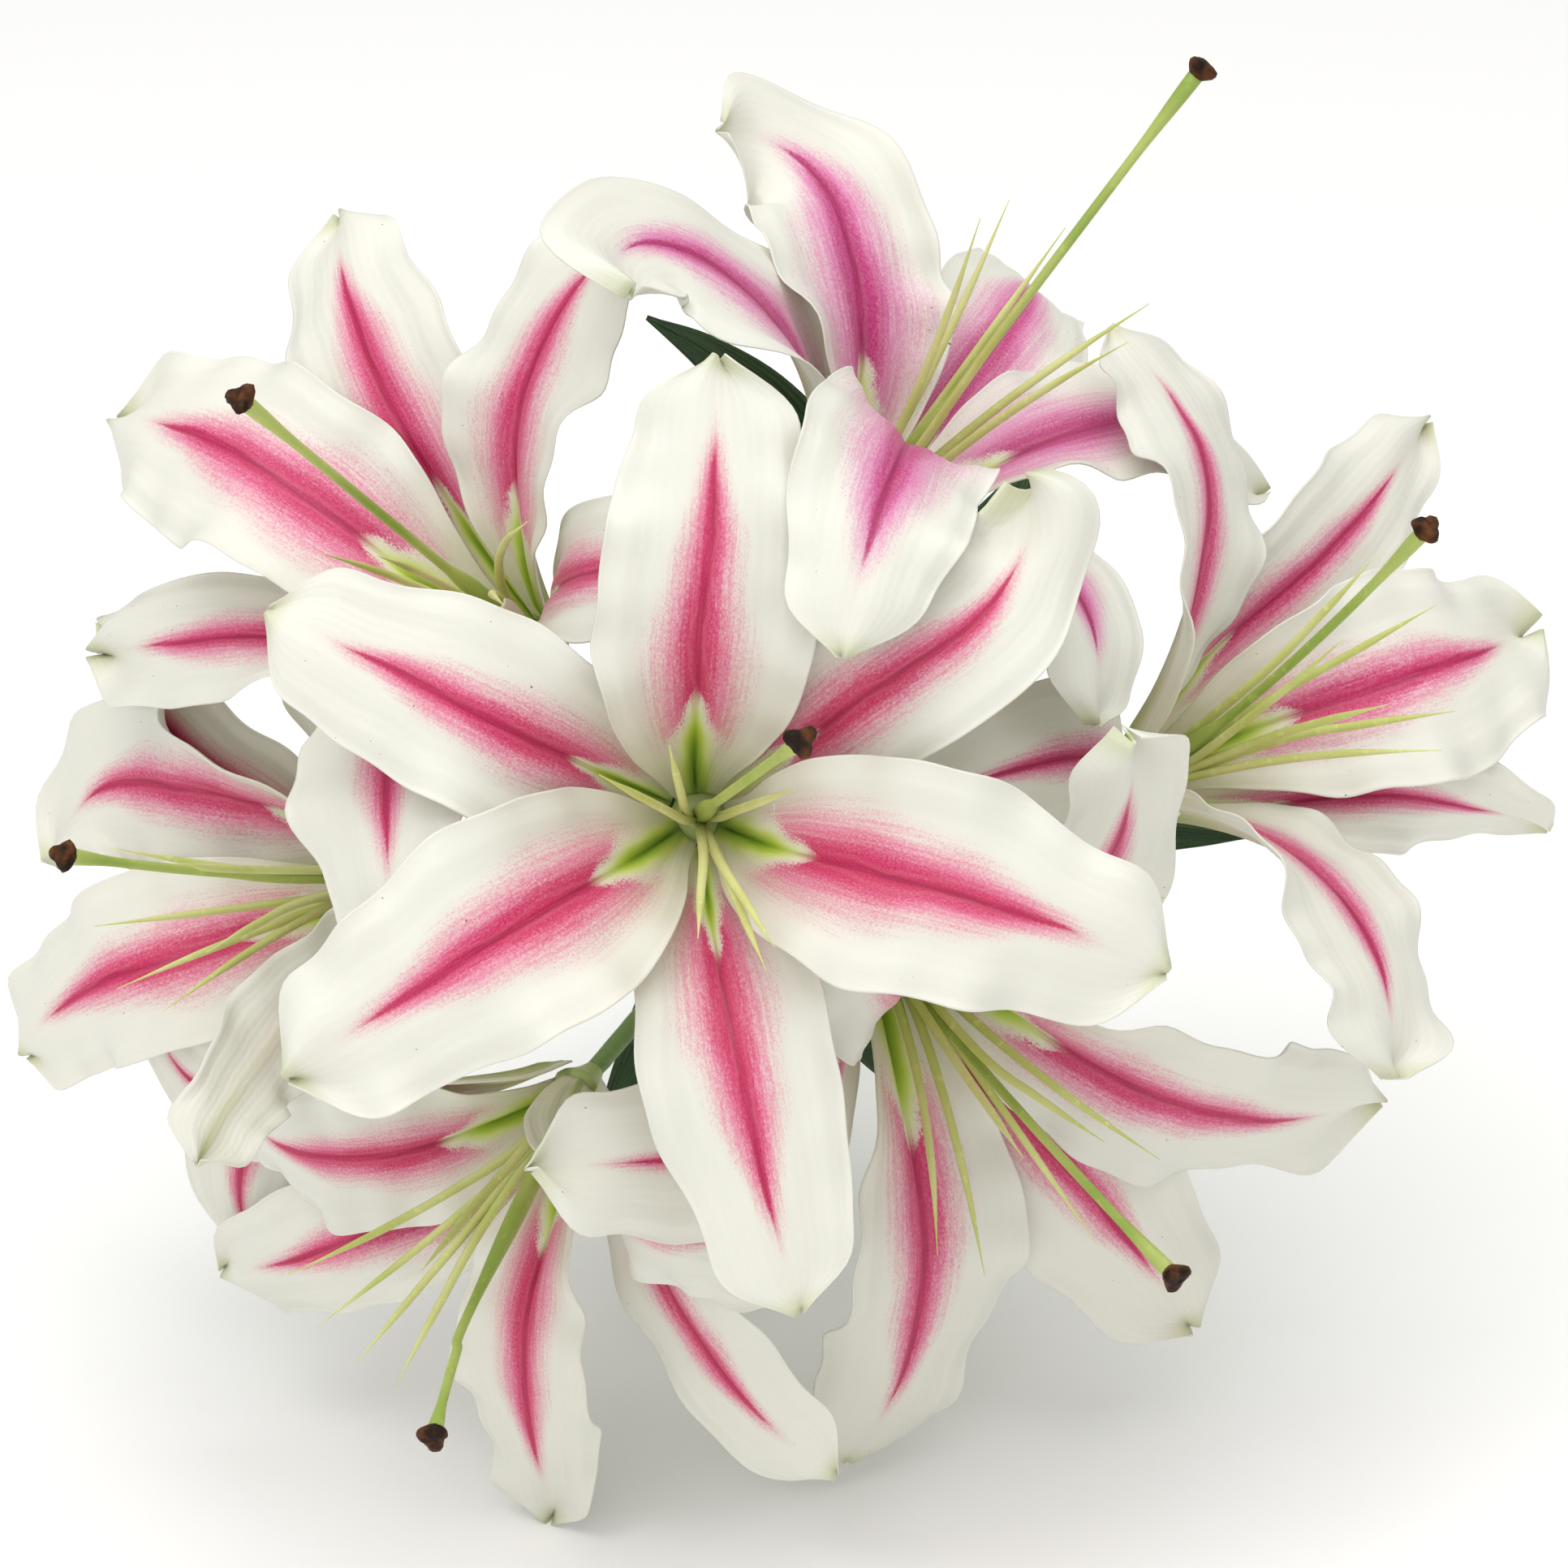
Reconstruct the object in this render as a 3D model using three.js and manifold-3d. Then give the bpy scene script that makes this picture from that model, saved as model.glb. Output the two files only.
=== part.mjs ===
// A bunch of lilies: seven open flowers on three cut stems, lying on its side.
// Millimetres, +Z up. The flowers face -Y and a little up, the cut stems point to +Y.
//
// Everything is first laid out in the bunch's own axes: X to the right, Y up across the flowers,
// Z out of the bunch towards someone facing the flowers. The whole bunch is then tipped over, so
// that it rests on the lowest tepals and on the cut ends of its stems.

import * as THREE from 'three';
import * as BufferGeometryUtils from 'three/addons/utils/BufferGeometryUtils.js';
import Module from 'manifold-3d';

const wasm = await Module();
wasm.setup();

// ---------------------------------------------------------------- driving dimensions

const lean = 27;                 // degrees that the bunch's axis rises from the surface
const clearance = 0.3;           // gap between pieces that touch

const tepalThickness = 0.9;
const innerLength = 122;         // the three broad tepals of a flower
const innerWidth = 46;
const outerLength = 118;         // the three narrow tepals behind them
const outerWidth = 36;
const sheetGap = 3.2;            // least distance between the middles of two tepals or leaves

const funnelAngle = 20;          // degrees between a tepal's foot and the flower's axis
const receptacleRadius = 4.2;
const receptacleHeight = 7;
const ovaryLength = 22;
const ovaryRadius = 2.1;
const styleRadius = 1.25;
const pistilLength = 117;
const stigmaRadius = 3.6;
const filamentLength = 88;
const filamentRadius = 1.15;

const pedicelRadius = 2.6;
const stemRadius = 4.4;
const cutEnd = -336;             // the cut ends of the stems, along the bunch's axis

const leafThickness = 0.8;
const leafLength = 118;
const leafWidth = 30;

const rowsAlong = 9;             // cells along a tepal or leaf
const cellsAcross = 4;           // cells across it

// ---------------------------------------------------------------- colours

const tepalColour = 0xf3efe6;
const greenColour = 0x9db04a;
const stemColour = 0x6f8f3d;
const leafColour = 0x23421f;

function finish(colour, roughness) {
  return new THREE.MeshStandardMaterial({ color: colour, roughness, metalness: 0 });
}

// ---------------------------------------------------------------- the flowers

// All angles are in degrees.
// at: where the foot of the flower is. compass: the way it leans, counterclockwise from the right.
// tilt: how far it leans from the bunch's axis. turn: where its first tepal stands.
// lift: the side the pistil leans to, how far it spreads, and its length next to an ordinary one.
// stamens: the same for each filament.
// Tepals go round the flower from that one, an outer one first and inner and outer in turn:
// open: angle from the flower's axis a third of the way along, two thirds, and at the tip;
// sway: how far it swings sideways at the same places; twist: turn of its blade at the tip;
// reach and width: its length and width next to those of an ordinary tepal of its kind.

const flowers = {
  centre: {
    at: [-19, -7, 0], compass: 0, tilt: 0, turn: 35, lift: [35, 20],
    tepals: [
      { open: [46, 84, 90], sway: [2, 6, 62], reach: 1.17, width: 1.06 },
      { open: [42, 86, 110], sway: [-8, -8, -5], reach: 0.98, width: 1.04 },
      { open: [45, 88, 105], sway: [0, -2, 2], reach: 1, width: 1.22 },
      { open: [42, 84, 100], sway: [-3, -3, 0], reach: 1.03, width: 1.09 },
      { open: [50, 92, 105], sway: [6, 6, 12], reach: 1.06, width: 1.19 },
      { open: [42, 86, 105], sway: [8, 8, 0], reach: 1.06, width: 1.09 },
    ],
    stamens: [[-92, 26], [-66, 38], [-56, 34], [100, 16], [150, 22], [20, 20]],
  },
  upper_left: {
    at: [-56, 32, -32], compass: 140, tilt: 45, turn: -150, lift: [180, 6],
    tepals: [
      { open: [50, 95, 120], sway: [-5, 0, 0], reach: 0.95 },
      { open: [42, 80, 110], sway: [5, 8, -10], reach: 0.92 },
      { open: [45, 80, 110], sway: [4, 4, 0], reach: 1.04, width: 1.17 },
      { open: [42, 80, 110], sway: [-18, -18, -5], reach: 1.04, width: 1.09 },
      { open: [48, 88, 120], sway: [-45, -55, -60], reach: 1 },
      { open: [45, 90, 115], sway: [-12, -12, -5], reach: 1, width: 1.09 },
    ],
    stamens: [[170, 34], [150, 24], [120, 50], [140, 56], [180, 60], [-160, 56]],
  },
  top: {
    at: [14, 55, -32], compass: 54, tilt: 65, turn: -120, lift: [-10, 10, 1.15],
    tepals: [
      { open: [50, 95, 140], sway: [-5, -12, -15], reach: 0.88, width: 1.11 },
      { open: [45, 80, 120], sway: [14, 16, -10], reach: 0.97, width: 0.96 },
      { open: [45, 85, 140], sway: [0, 0, 0], reach: 1, width: 1.11 },
      { open: [42, 78, 105], sway: [3, -3, 105], reach: 0.93, width: 1.1, twist: -48 },
      { open: [50, 90, 120], sway: [-5, 0, 120], reach: 1.06, width: 1.33, twist: -26 },
      { open: [50, 110, 165], sway: [0, 10, 30], reach: 1.05, width: 1 },
    ],
    stamens: [[0, 10], [60, 14], [120, 18], [180, 22], [-120, 26], [-60, 26]],
  },
  right: {
    at: [78, -2, -52], compass: 30, tilt: 50, turn: -60, lift: [120, 16],
    tepals: [
      { open: [42, 76, 90], sway: [18, 22, 30], reach: 0.92, width: 0.78, twist: 120 },
      { open: [42, 76, 105], sway: [-9, -9, -4], reach: 0.98, width: 1.04 },
      { open: [45, 76, 88], sway: [-40, -43, -40], reach: 1.12, width: 0.94 },
      { open: [42, 78, 105], sway: [-48, -50, -20], reach: 0.92, width: 0.91 },
      { open: [55, 110, 160], sway: [-15, -15, 0], reach: 1 },
      { open: [42, 80, 115], sway: [16, 16, 0], reach: 0.87, width: 1.04 },
    ],
    stamens: [[60, 20], [0, 24], [-60, 24], [-90, 24], [150, 18], [-150, 18]],
  },
  lower_right: {
    at: [21, -35, -46], compass: -55, tilt: 55, turn: -120, lift: [90, 8],
    tepals: [
      { open: [48, 88, 100], sway: [-8, -14, -14], reach: 1.16, width: 1.22, twist: 60 },
      { open: [42, 76, 98], sway: [16, 18, 8], reach: 1.1, width: 1.17 },
      { open: [40, 60, 76], sway: [5, 5, 0], reach: 1.1, width: 1.28 },
      { open: [42, 76, 98], sway: [-18, -21, 0], reach: 1.11, width: 1.04 },
      { open: [48, 85, 100], sway: [8, 20, 45], reach: 1.02, width: 1.17 },
      { open: [60, 120, 170], sway: [0, 0, 0], reach: 0.98, width: 1 },
    ],
    stamens: [[0, 26], [60, 24], [-60, 28], [-100, 28], [120, 20], [180, 24]],
  },
  bottom: {
    at: [-48, -71, -55], compass: -130, tilt: 45, turn: -110, lift: [120, 20],
    tepals: [
      { open: [50, 92, 108], sway: [58, 58, -70], reach: 1.08, width: 0.9 },
      { open: [42, 88, 140], sway: [-4, -4, -20], reach: 0.68, width: 0.91 },
      { open: [45, 80, 110], sway: [-33, -34, -34], reach: 0.92, width: 1 },
      { open: [42, 78, 100], sway: [-25, -28, -36], reach: 0.88, width: 0.83 },
      { open: [45, 80, 100], sway: [-40, -45, -35], reach: 0.97, width: 1.11 },
      { open: [45, 90, 110], sway: [-60, -65, -60], reach: 0.82, width: 0.87 },
    ],
    stamens: [[-60, 28], [-30, 26], [0, 24], [30, 24], [120, 20], [180, 20]],
  },
  left: {
    at: [-84, -21, -72], compass: 187, tilt: 42, turn: -150, lift: [-120, 12],
    tepals: [
      { open: [48, 84, 100], sway: [84, 90, 60], reach: 0.72, width: 0.94 },
      { open: [42, 84, 120], sway: [60, 84, 170], reach: 0.92, width: 1.04 },
      { open: [48, 90, 105], sway: [-14, -18, -20], reach: 0.92, width: 1 },
      { open: [42, 80, 110], sway: [-12, -15, 5], reach: 0.95, width: 0.96 },
      { open: [60, 106, 116], sway: [-34, -36, 60], reach: 1.1, width: 0.89 },
      { open: [14, 18, 36], sway: [-26, -36, -20], reach: 0.86, width: 0.62, twist: 90 },
    ],
    stamens: [[-60, 18], [0, 20], [40, 24], [80, 24], [140, 20], [-150, 16]],
  },
};

// ---------------------------------------------------------------- helpers for curves and solids

const radians = THREE.MathUtils.degToRad;

// A smooth curve through values that stand at equal steps from 0 to 1.
function smoothValue(values, s) {
  const last = values.length - 1;
  const place = Math.min(s * last, last - 1e-9);
  const i = Math.floor(place);
  const f = place - i;
  const before = values[Math.max(i - 1, 0)];
  const after = values[Math.min(i + 2, last)];
  const a = values[i];
  const b = values[i + 1];
  const slopeA = (b - before) / (i > 0 ? 2 : 1);
  const slopeB = (after - a) / (i + 2 <= last ? 2 : 1);
  const f2 = f * f;
  const f3 = f2 * f;
  return a * (2 * f3 - 3 * f2 + 1) + slopeA * (f3 - 2 * f2 + f) + b * (3 * f2 - 2 * f3) + slopeB * (f3 - f2);
}

function toManifold(geometry) {
  const bare = geometry.clone();
  bare.deleteAttribute('normal');
  bare.deleteAttribute('uv');
  const merged = BufferGeometryUtils.mergeVertices(bare, 1e-4);
  return new wasm.Manifold(new wasm.Mesh({
    numProp: 3,
    vertProperties: new Float32Array(merged.attributes.position.array),
    triVerts: new Uint32Array(merged.index.array),
  }));
}

function toGeometry(manifold) {
  const mesh = manifold.getMesh();
  const geometry = new THREE.BufferGeometry();
  geometry.setAttribute('position', new THREE.BufferAttribute(new Float32Array(mesh.vertProperties), 3));
  geometry.setIndex(new THREE.BufferAttribute(new Uint32Array(mesh.triVerts), 1));
  geometry.computeVertexNormals();
  return geometry;
}

// A closed tube along points, with its own radius at each. A radius of 0 at an end makes a point.
function tubeGeometry(points, radii, sides) {
  const positions = [];
  const index = [];
  let side = new THREE.Vector3();
  const rings = [];
  for (let i = 0; i < points.length; i += 1) {
    const ahead = points[Math.min(i + 1, points.length - 1)];
    const behind = points[Math.max(i - 1, 0)];
    const along = ahead.clone().sub(behind).normalize();
    if (i === 0) {
      side = new THREE.Vector3(along.y, along.z, along.x);
    }
    side = side.clone().addScaledVector(along, -side.dot(along)).normalize();
    const other = along.clone().cross(side);
    const ring = [];
    const count = radii[i] > 0 ? sides : 1;
    for (let k = 0; k < count; k += 1) {
      const angle = (2 * Math.PI * k) / sides;
      const p = points[i].clone();
      p.addScaledVector(side, radii[i] * Math.cos(angle));
      p.addScaledVector(other, radii[i] * Math.sin(angle));
      ring.push(positions.length / 3);
      positions.push(p.x, p.y, p.z);
    }
    rings.push(ring);
  }
  for (let i = 0; i + 1 < rings.length; i += 1) {
    for (let k = 0; k < sides; k += 1) {
      const a = rings[i][k % rings[i].length];
      const b = rings[i][(k + 1) % rings[i].length];
      const c = rings[i + 1][(k + 1) % rings[i + 1].length];
      const d = rings[i + 1][k % rings[i + 1].length];
      if (a !== b) {
        index.push(a, b, c);
      }
      if (c !== d) {
        index.push(a, c, d);
      }
    }
  }
  const first = rings[0];
  const final = rings[rings.length - 1];
  for (let k = 1; k + 1 < first.length; k += 1) {
    index.push(first[0], first[k + 1], first[k]);
  }
  for (let k = 1; k + 1 < final.length; k += 1) {
    index.push(final[0], final[k], final[k + 1]);
  }
  const geometry = new THREE.BufferGeometry();
  geometry.setAttribute('position', new THREE.Float32BufferAttribute(positions, 3));
  geometry.setIndex(index);
  return geometry;
}

// ---------------------------------------------------------------- tepals and leaves as thin sheets

// The middle of a sheet, as rows of points from its foot to its tip. It starts beside an axis,
// runs along it at first and opens away from it.
function sheetRows({ foot, axis, radial, length, open, sway, twist, widthAt, bendAt }) {
  const steps = 6;
  const tangential = axis.clone().cross(radial);
  const rows = [];
  const point = foot.clone();
  for (let i = 0; i <= rowsAlong * steps; i += 1) {
    const s = i / (rowsAlong * steps);
    const opened = radians(smoothValue(open, s));
    const swung = radians(smoothValue(sway, s));
    const straight = axis.clone().multiplyScalar(Math.cos(opened)).addScaledVector(radial, Math.sin(opened));
    const along = straight.clone().multiplyScalar(Math.cos(swung)).addScaledVector(tangential, Math.sin(swung));
    if (i % steps === 0) {
      const across = tangential.clone().multiplyScalar(Math.cos(swung)).addScaledVector(straight, -Math.sin(swung));
      across.applyAxisAngle(along, radians(twist * s * s));
      const face = along.clone().cross(across);
      rows.push(sheetRow(point, across, face, widthAt(s) / 2, bendAt(s)));
    }
    point.addScaledVector(along, length / (rowsAlong * steps));
  }
  return rows;
}

// One row across a sheet: an arc of the given bend, in radians per millimetre.
function sheetRow(middle, across, face, halfWidth, bend) {
  const row = [];
  for (let k = 0; k <= cellsAcross; k += 1) {
    const u = halfWidth * ((2 * k) / cellsAcross - 1);
    const turn = Math.abs(bend) < 1e-6 ? 1e-6 : bend;
    const p = middle.clone();
    p.addScaledVector(across, Math.sin(turn * u) / turn);
    p.addScaledVector(face, (1 - Math.cos(turn * u)) / turn);
    row.push(p);
  }
  return row;
}

// The normal of a sheet at each of its points, on the side that faces its axis.
function sheetNormals(rows) {
  return rows.map((row, i) => row.map((_, k) => {
    const along = rows[Math.min(i + 1, rowsAlong)][k].clone().sub(rows[Math.max(i - 1, 0)][k]);
    const across = row[Math.min(k + 1, cellsAcross)].clone().sub(row[Math.max(k - 1, 0)]);
    return along.cross(across).normalize();
  }));
}

// A closed shell round a sheet's middle.
function shellGeometry(rows, thickness) {
  const normals = sheetNormals(rows);
  const positions = [];
  for (const side of [0.5, -0.5]) {
    for (let i = 0; i <= rowsAlong; i += 1) {
      for (let k = 0; k <= cellsAcross; k += 1) {
        const p = rows[i][k].clone().addScaledVector(normals[i][k], side * thickness);
        positions.push(p.x, p.y, p.z);
      }
    }
  }
  const perRow = cellsAcross + 1;
  const perSide = perRow * (rowsAlong + 1);
  const index = [];
  const quad = (a, b, c, d) => index.push(a, b, c, a, c, d);
  for (let i = 0; i < rowsAlong; i += 1) {
    for (let k = 0; k < cellsAcross; k += 1) {
      const a = i * perRow + k;
      quad(a, a + perRow, a + perRow + 1, a + 1);
      quad(perSide + a, perSide + a + 1, perSide + a + perRow + 1, perSide + a + perRow);
    }
  }
  for (let i = 0; i < rowsAlong; i += 1) {
    const left = i * perRow;
    const right = left + cellsAcross;
    quad(left, perSide + left, perSide + left + perRow, left + perRow);
    quad(right, right + perRow, perSide + right + perRow, perSide + right);
  }
  for (let k = 0; k < cellsAcross; k += 1) {
    const end = rowsAlong * perRow + k;
    quad(k, k + 1, perSide + k + 1, perSide + k);
    quad(end, perSide + end, perSide + end + 1, end + 1);
  }
  const geometry = new THREE.BufferGeometry();
  geometry.setAttribute('position', new THREE.Float32BufferAttribute(positions, 3));
  geometry.setIndex(index);
  geometry.computeVertexNormals();
  return geometry;
}

// ---------------------------------------------------------------- settling the sheets

// Tepals and leaves are soft: where two of them would pass through each other, they lean on each
// other instead. Each round finds places that are too close and pushes both sheets apart there.
const settleRounds = 90;
const probeSteps = 2;            // probes per cell, each way
const probeReach = 5.5;          // how far to the side a probe still meets another
const searchRadius = 9;
const pushShare = 0.5;           // part of a gap's lack that one sheet makes up for in a round
const pushPace = 0.8;            // part of its push that a sheet follows in a round
const evenness = 0.3;            // how strongly neighbouring points of a sheet move alike
const steepNormal = 0.25;        // sheets seen more edge-on than this part by their nearest sides
const pairBase = 1000;           // gives each pair of sheets one number

function probeTable() {
  const table = [];
  for (let i = 0; i <= rowsAlong * probeSteps; i += 1) {
    for (let k = 0; k <= cellsAcross * probeSteps; k += 1) {
      const row = Math.min(Math.floor(i / probeSteps), rowsAlong - 1);
      const cell = Math.min(Math.floor(k / probeSteps), cellsAcross - 1);
      const fi = i / probeSteps - row;
      const fk = k / probeSteps - cell;
      const rim = i === rowsAlong * probeSteps || k === 0 || k === cellsAcross * probeSteps;
      table.push({
        rim,
        corners: [
          [row, cell, (1 - fi) * (1 - fk)],
          [row + 1, cell, fi * (1 - fk)],
          [row, cell + 1, (1 - fi) * fk],
          [row + 1, cell + 1, fi * fk],
        ],
      });
    }
  }
  return table;
}

function takeProbes(sheets, table) {
  const probes = [];
  sheets.forEach((sheet, owner) => {
    const normals = sheetNormals(sheet.rows);
    for (const { rim, corners } of table) {
      const at = new THREE.Vector3();
      const normal = new THREE.Vector3();
      for (const [i, k, weight] of corners) {
        at.addScaledVector(sheet.rows[i][k], weight);
        normal.addScaledVector(normals[i][k], weight);
      }
      probes.push({ owner, rim, corners, at, normal: normal.normalize(), push: new THREE.Vector3() });
    }
  });
  return probes;
}

function hashKey(x, y, z) {
  return (x * 4096 + y) * 4096 + z;
}

function hashProbes(probes) {
  const boxes = new Map();
  for (const probe of probes) {
    const cell = [probe.at.x, probe.at.y, probe.at.z].map((v) => Math.floor(v / searchRadius) + 512);
    probe.cell = cell;
    const key = hashKey(...cell);
    if (!boxes.has(key)) {
      boxes.set(key, []);
    }
    boxes.get(key).push(probe);
  }
  return boxes;
}

function nearProbes(probe, boxes) {
  const found = [];
  for (let dx = -1; dx <= 1; dx += 1) {
    for (let dy = -1; dy <= 1; dy += 1) {
      for (let dz = -1; dz <= 1; dz += 1) {
        const box = boxes.get(hashKey(probe.cell[0] + dx, probe.cell[1] + dy, probe.cell[2] + dz));
        for (const other of box ?? []) {
          if (other.owner !== probe.owner && other.at.distanceTo(probe.at) < searchRadius) {
            found.push(other);
          }
        }
      }
    }
  }
  return found;
}

// Which of two sheets lies in front: within a flower the inner tepals do, and between flowers the
// one that is nearer the viewer where they first meet.
function settleOrder(sheets, probes, boxes, order) {
  const lead = new Map();
  for (const probe of probes) {
    for (const other of nearProbes(probe, boxes)) {
      if (probe.owner < other.owner) {
        const key = probe.owner * pairBase + other.owner;
        lead.set(key, (lead.get(key) ?? 0) + probe.at.z - other.at.z);
      }
    }
  }
  for (const [key, value] of lead) {
    const a = Math.floor(key / pairBase);
    const b = key % pairBase;
    if (!order.has(key)) {
      const sameFlower = sheets[a].flower === sheets[b].flower;
      const inward = Math.sign(sheets[a].layer - sheets[b].layer);
      order.set(key, sameFlower ? inward : Math.sign(value) || 1);
    }
  }
}

function pushProbe(probe, boxes, sheets, order) {
  let worst = 0;
  for (const other of nearProbes(probe, boxes)) {
    const first = probe.owner < other.owner;
    const pair = first ? [probe.owner, other.owner] : [other.owner, probe.owner];
    const key = pair[0] * pairBase + pair[1];
    const inFront = (first ? 1 : -1) * (order.get(key) ?? 0);
    const away = probe.at.clone().sub(other.at);
    const height = away.dot(other.normal);
    const aside = Math.sqrt(Math.max(away.lengthSq() - height * height, 0));
    if (aside > probeReach) {
      continue;
    }
    const sameFlower = sheets[probe.owner].flower === sheets[other.owner].flower;
    let side = Math.sign(height) || 1;
    if (inFront !== 0 && sameFlower) {
      side = inFront;
    } else if (inFront !== 0 && Math.abs(other.normal.z) > steepNormal) {
      side = inFront * Math.sign(other.normal.z);
    }
    const alike = probe.rim ? 1 : Math.abs(probe.normal.dot(other.normal));
    const need = (sheetGap - side * height) * alike * (1 - 0.5 * (aside / probeReach));
    if (need > worst) {
      worst = need;
      probe.push.copy(other.normal).multiplyScalar(side * need * pushShare);
    }
  }
}

function spreadPushes(sheet, probes, shift) {
  const total = sheet.rows.map((row) => row.map(() => ({ push: new THREE.Vector3(), weight: 0 })));
  for (const probe of probes) {
    if (probe.push.lengthSq() > 0) {
      for (const [i, k, weight] of probe.corners) {
        total[i][k].push.addScaledVector(probe.push, weight);
        total[i][k].weight += weight;
      }
    }
  }
  for (let i = 0; i <= rowsAlong; i += 1) {
    const loose = THREE.MathUtils.clamp((i - sheet.held) / 2, 0, 1);
    for (let k = 0; k <= cellsAcross; k += 1) {
      if (total[i][k].weight > 0) {
        shift[i][k].addScaledVector(total[i][k].push, (pushPace * loose) / total[i][k].weight);
      }
    }
  }
}

// Evens out how far neighbouring points of a sheet have moved, so that it bends and doesn't crease.
function evenOut(shift, held) {
  const before = shift.map((row) => row.map((v) => v.clone()));
  for (let i = held + 1; i <= rowsAlong; i += 1) {
    for (let k = 0; k <= cellsAcross; k += 1) {
      const around = [before[i - 1][k], before[Math.min(i + 1, rowsAlong)][k]];
      around.push(before[i][Math.max(k - 1, 0)], before[i][Math.min(k + 1, cellsAcross)]);
      const mean = new THREE.Vector3();
      around.forEach((v) => mean.addScaledVector(v, 1 / around.length));
      shift[i][k].lerp(mean, evenness);
    }
  }
}

function settle(sheets) {
  const table = probeTable();
  const order = new Map();
  const drawn = sheets.map((sheet) => sheet.rows.map((row) => row.map((p) => p.clone())));
  const shifts = sheets.map((sheet) => sheet.rows.map((row) => row.map(() => new THREE.Vector3())));
  for (let round = 0; round < settleRounds; round += 1) {
    const probes = takeProbes(sheets, table);
    const boxes = hashProbes(probes);
    settleOrder(sheets, probes, boxes, order);
    for (const probe of probes) {
      pushProbe(probe, boxes, sheets, order);
    }
    sheets.forEach((sheet, owner) => {
      const own = probes.slice(owner * table.length, (owner + 1) * table.length);
      spreadPushes(sheet, own, shifts[owner]);
      evenOut(shifts[owner], sheet.held);
      sheet.rows = drawn[owner].map((row, i) => row.map((p, k) => p.clone().add(shifts[owner][i][k])));
    });
  }
}

// ---------------------------------------------------------------- building a flower

// A flower's own axes: the way it faces, the side that leans away from the viewer, and across.
function flowerAxes({ compass, tilt }) {
  const c = radians(compass);
  const t = radians(tilt);
  const axis = new THREE.Vector3(Math.sin(t) * Math.cos(c), Math.sin(t) * Math.sin(c), Math.cos(t));
  const far = new THREE.Vector3(Math.cos(t) * Math.cos(c), Math.cos(t) * Math.sin(c), -Math.sin(t));
  return { axis, far, across: axis.clone().cross(far) };
}

function around(axes, degrees) {
  const angle = radians(degrees);
  return axes.far.clone().multiplyScalar(Math.cos(angle)).addScaledVector(axes.across, Math.sin(angle));
}

// Width along a tepal: a narrow foot, widest past the middle, and a short blunt point.
const tepalProfile = [0.2, 0.38, 0.7, 0.93, 1, 0.99, 0.88, 0.64, 0.18];

// The blade wraps round the flower's throat at its foot and rolls back a little at its tip.
const tepalBend = [1 / 9, 1 / 24, 1 / 70, -1 / 110, -1 / 50];

function flowerTepals(name, flower) {
  const axes = flowerAxes(flower);
  const origin = new THREE.Vector3(...flower.at);
  return flower.tepals.map((tepal, k) => {
    const inner = k % 2 === 1;
    const radial = around(axes, flower.turn + 60 * k);
    const standOff = receptacleRadius + clearance + tepalThickness * (inner ? 0.6 : 3);
    const foot = origin.clone().addScaledVector(radial, standOff);
    foot.addScaledVector(axes.axis, inner ? 1 : -2);
    const width = (inner ? innerWidth : outerWidth) * (tepal.width ?? 1);
    return {
      name: `${name}_tepal_${k + 1}`,
      flower: name,
      layer: inner ? 1 : 0,
      held: 1,
      thickness: tepalThickness,
      material: finish(tepalColour, 0.55),
      rows: sheetRows({
        foot,
        axis: axes.axis,
        radial,
        length: (inner ? innerLength : outerLength) * (tepal.reach ?? 1),
        open: [funnelAngle, ...tepal.open],
        sway: [0, ...tepal.sway],
        twist: tepal.twist ?? 0,
        widthAt: (s) => width * smoothValue(tepalProfile, s),
        bendAt: (s) => smoothValue(tepalBend, s),
      }),
    };
  });
}

// A slender stalk inside the flower that leaves along its axis and leans steadily to one side.
function leaningPath(origin, axes, length, side, spread, steps) {
  const radial = around(axes, side);
  const points = [];
  const point = origin.clone();
  for (let i = 0; i <= steps; i += 1) {
    points.push(point.clone());
    const angle = radians(spread * Math.sqrt((i + 0.5) / steps));
    point.addScaledVector(axes.axis, (Math.cos(angle) * length) / steps);
    point.addScaledVector(radial, (Math.sin(angle) * length) / steps);
  }
  return points;
}

function pistilSolid(origin, axes, [side, spread, reach = 1]) {
  const steps = 9;
  const length = pistilLength * reach;
  const path = leaningPath(origin, axes, length, side, spread, steps);
  const radii = path.map((_, i) => (i * length < ovaryLength * steps ? ovaryRadius : styleRadius));
  radii[steps - 1] = styleRadius * 1.3;
  radii[steps] = styleRadius * 1.6;
  const end = path[steps];
  const along = end.clone().sub(path[steps - 1]).normalize();
  for (const [ahead, radius] of [[0.25, stigmaRadius * 0.9], [0.9, stigmaRadius], [1.2, 0]]) {
    path.push(end.clone().addScaledVector(along, ahead * stigmaRadius));
    radii.push(radius);
  }
  return toManifold(tubeGeometry(path, radii, 5));
}

function filamentSolid(origin, axes, [side, spread], k) {
  const steps = 4;
  const start = origin.clone().addScaledVector(around(axes, 60 * k + 30), receptacleRadius * 0.55);
  const path = leaningPath(start, axes, filamentLength, side, spread, steps);
  const radii = path.map((_, i) => (i < steps ? filamentRadius * (1 - 0.17 * i) : 0));
  return toManifold(tubeGeometry(path, radii, 3));
}

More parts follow.
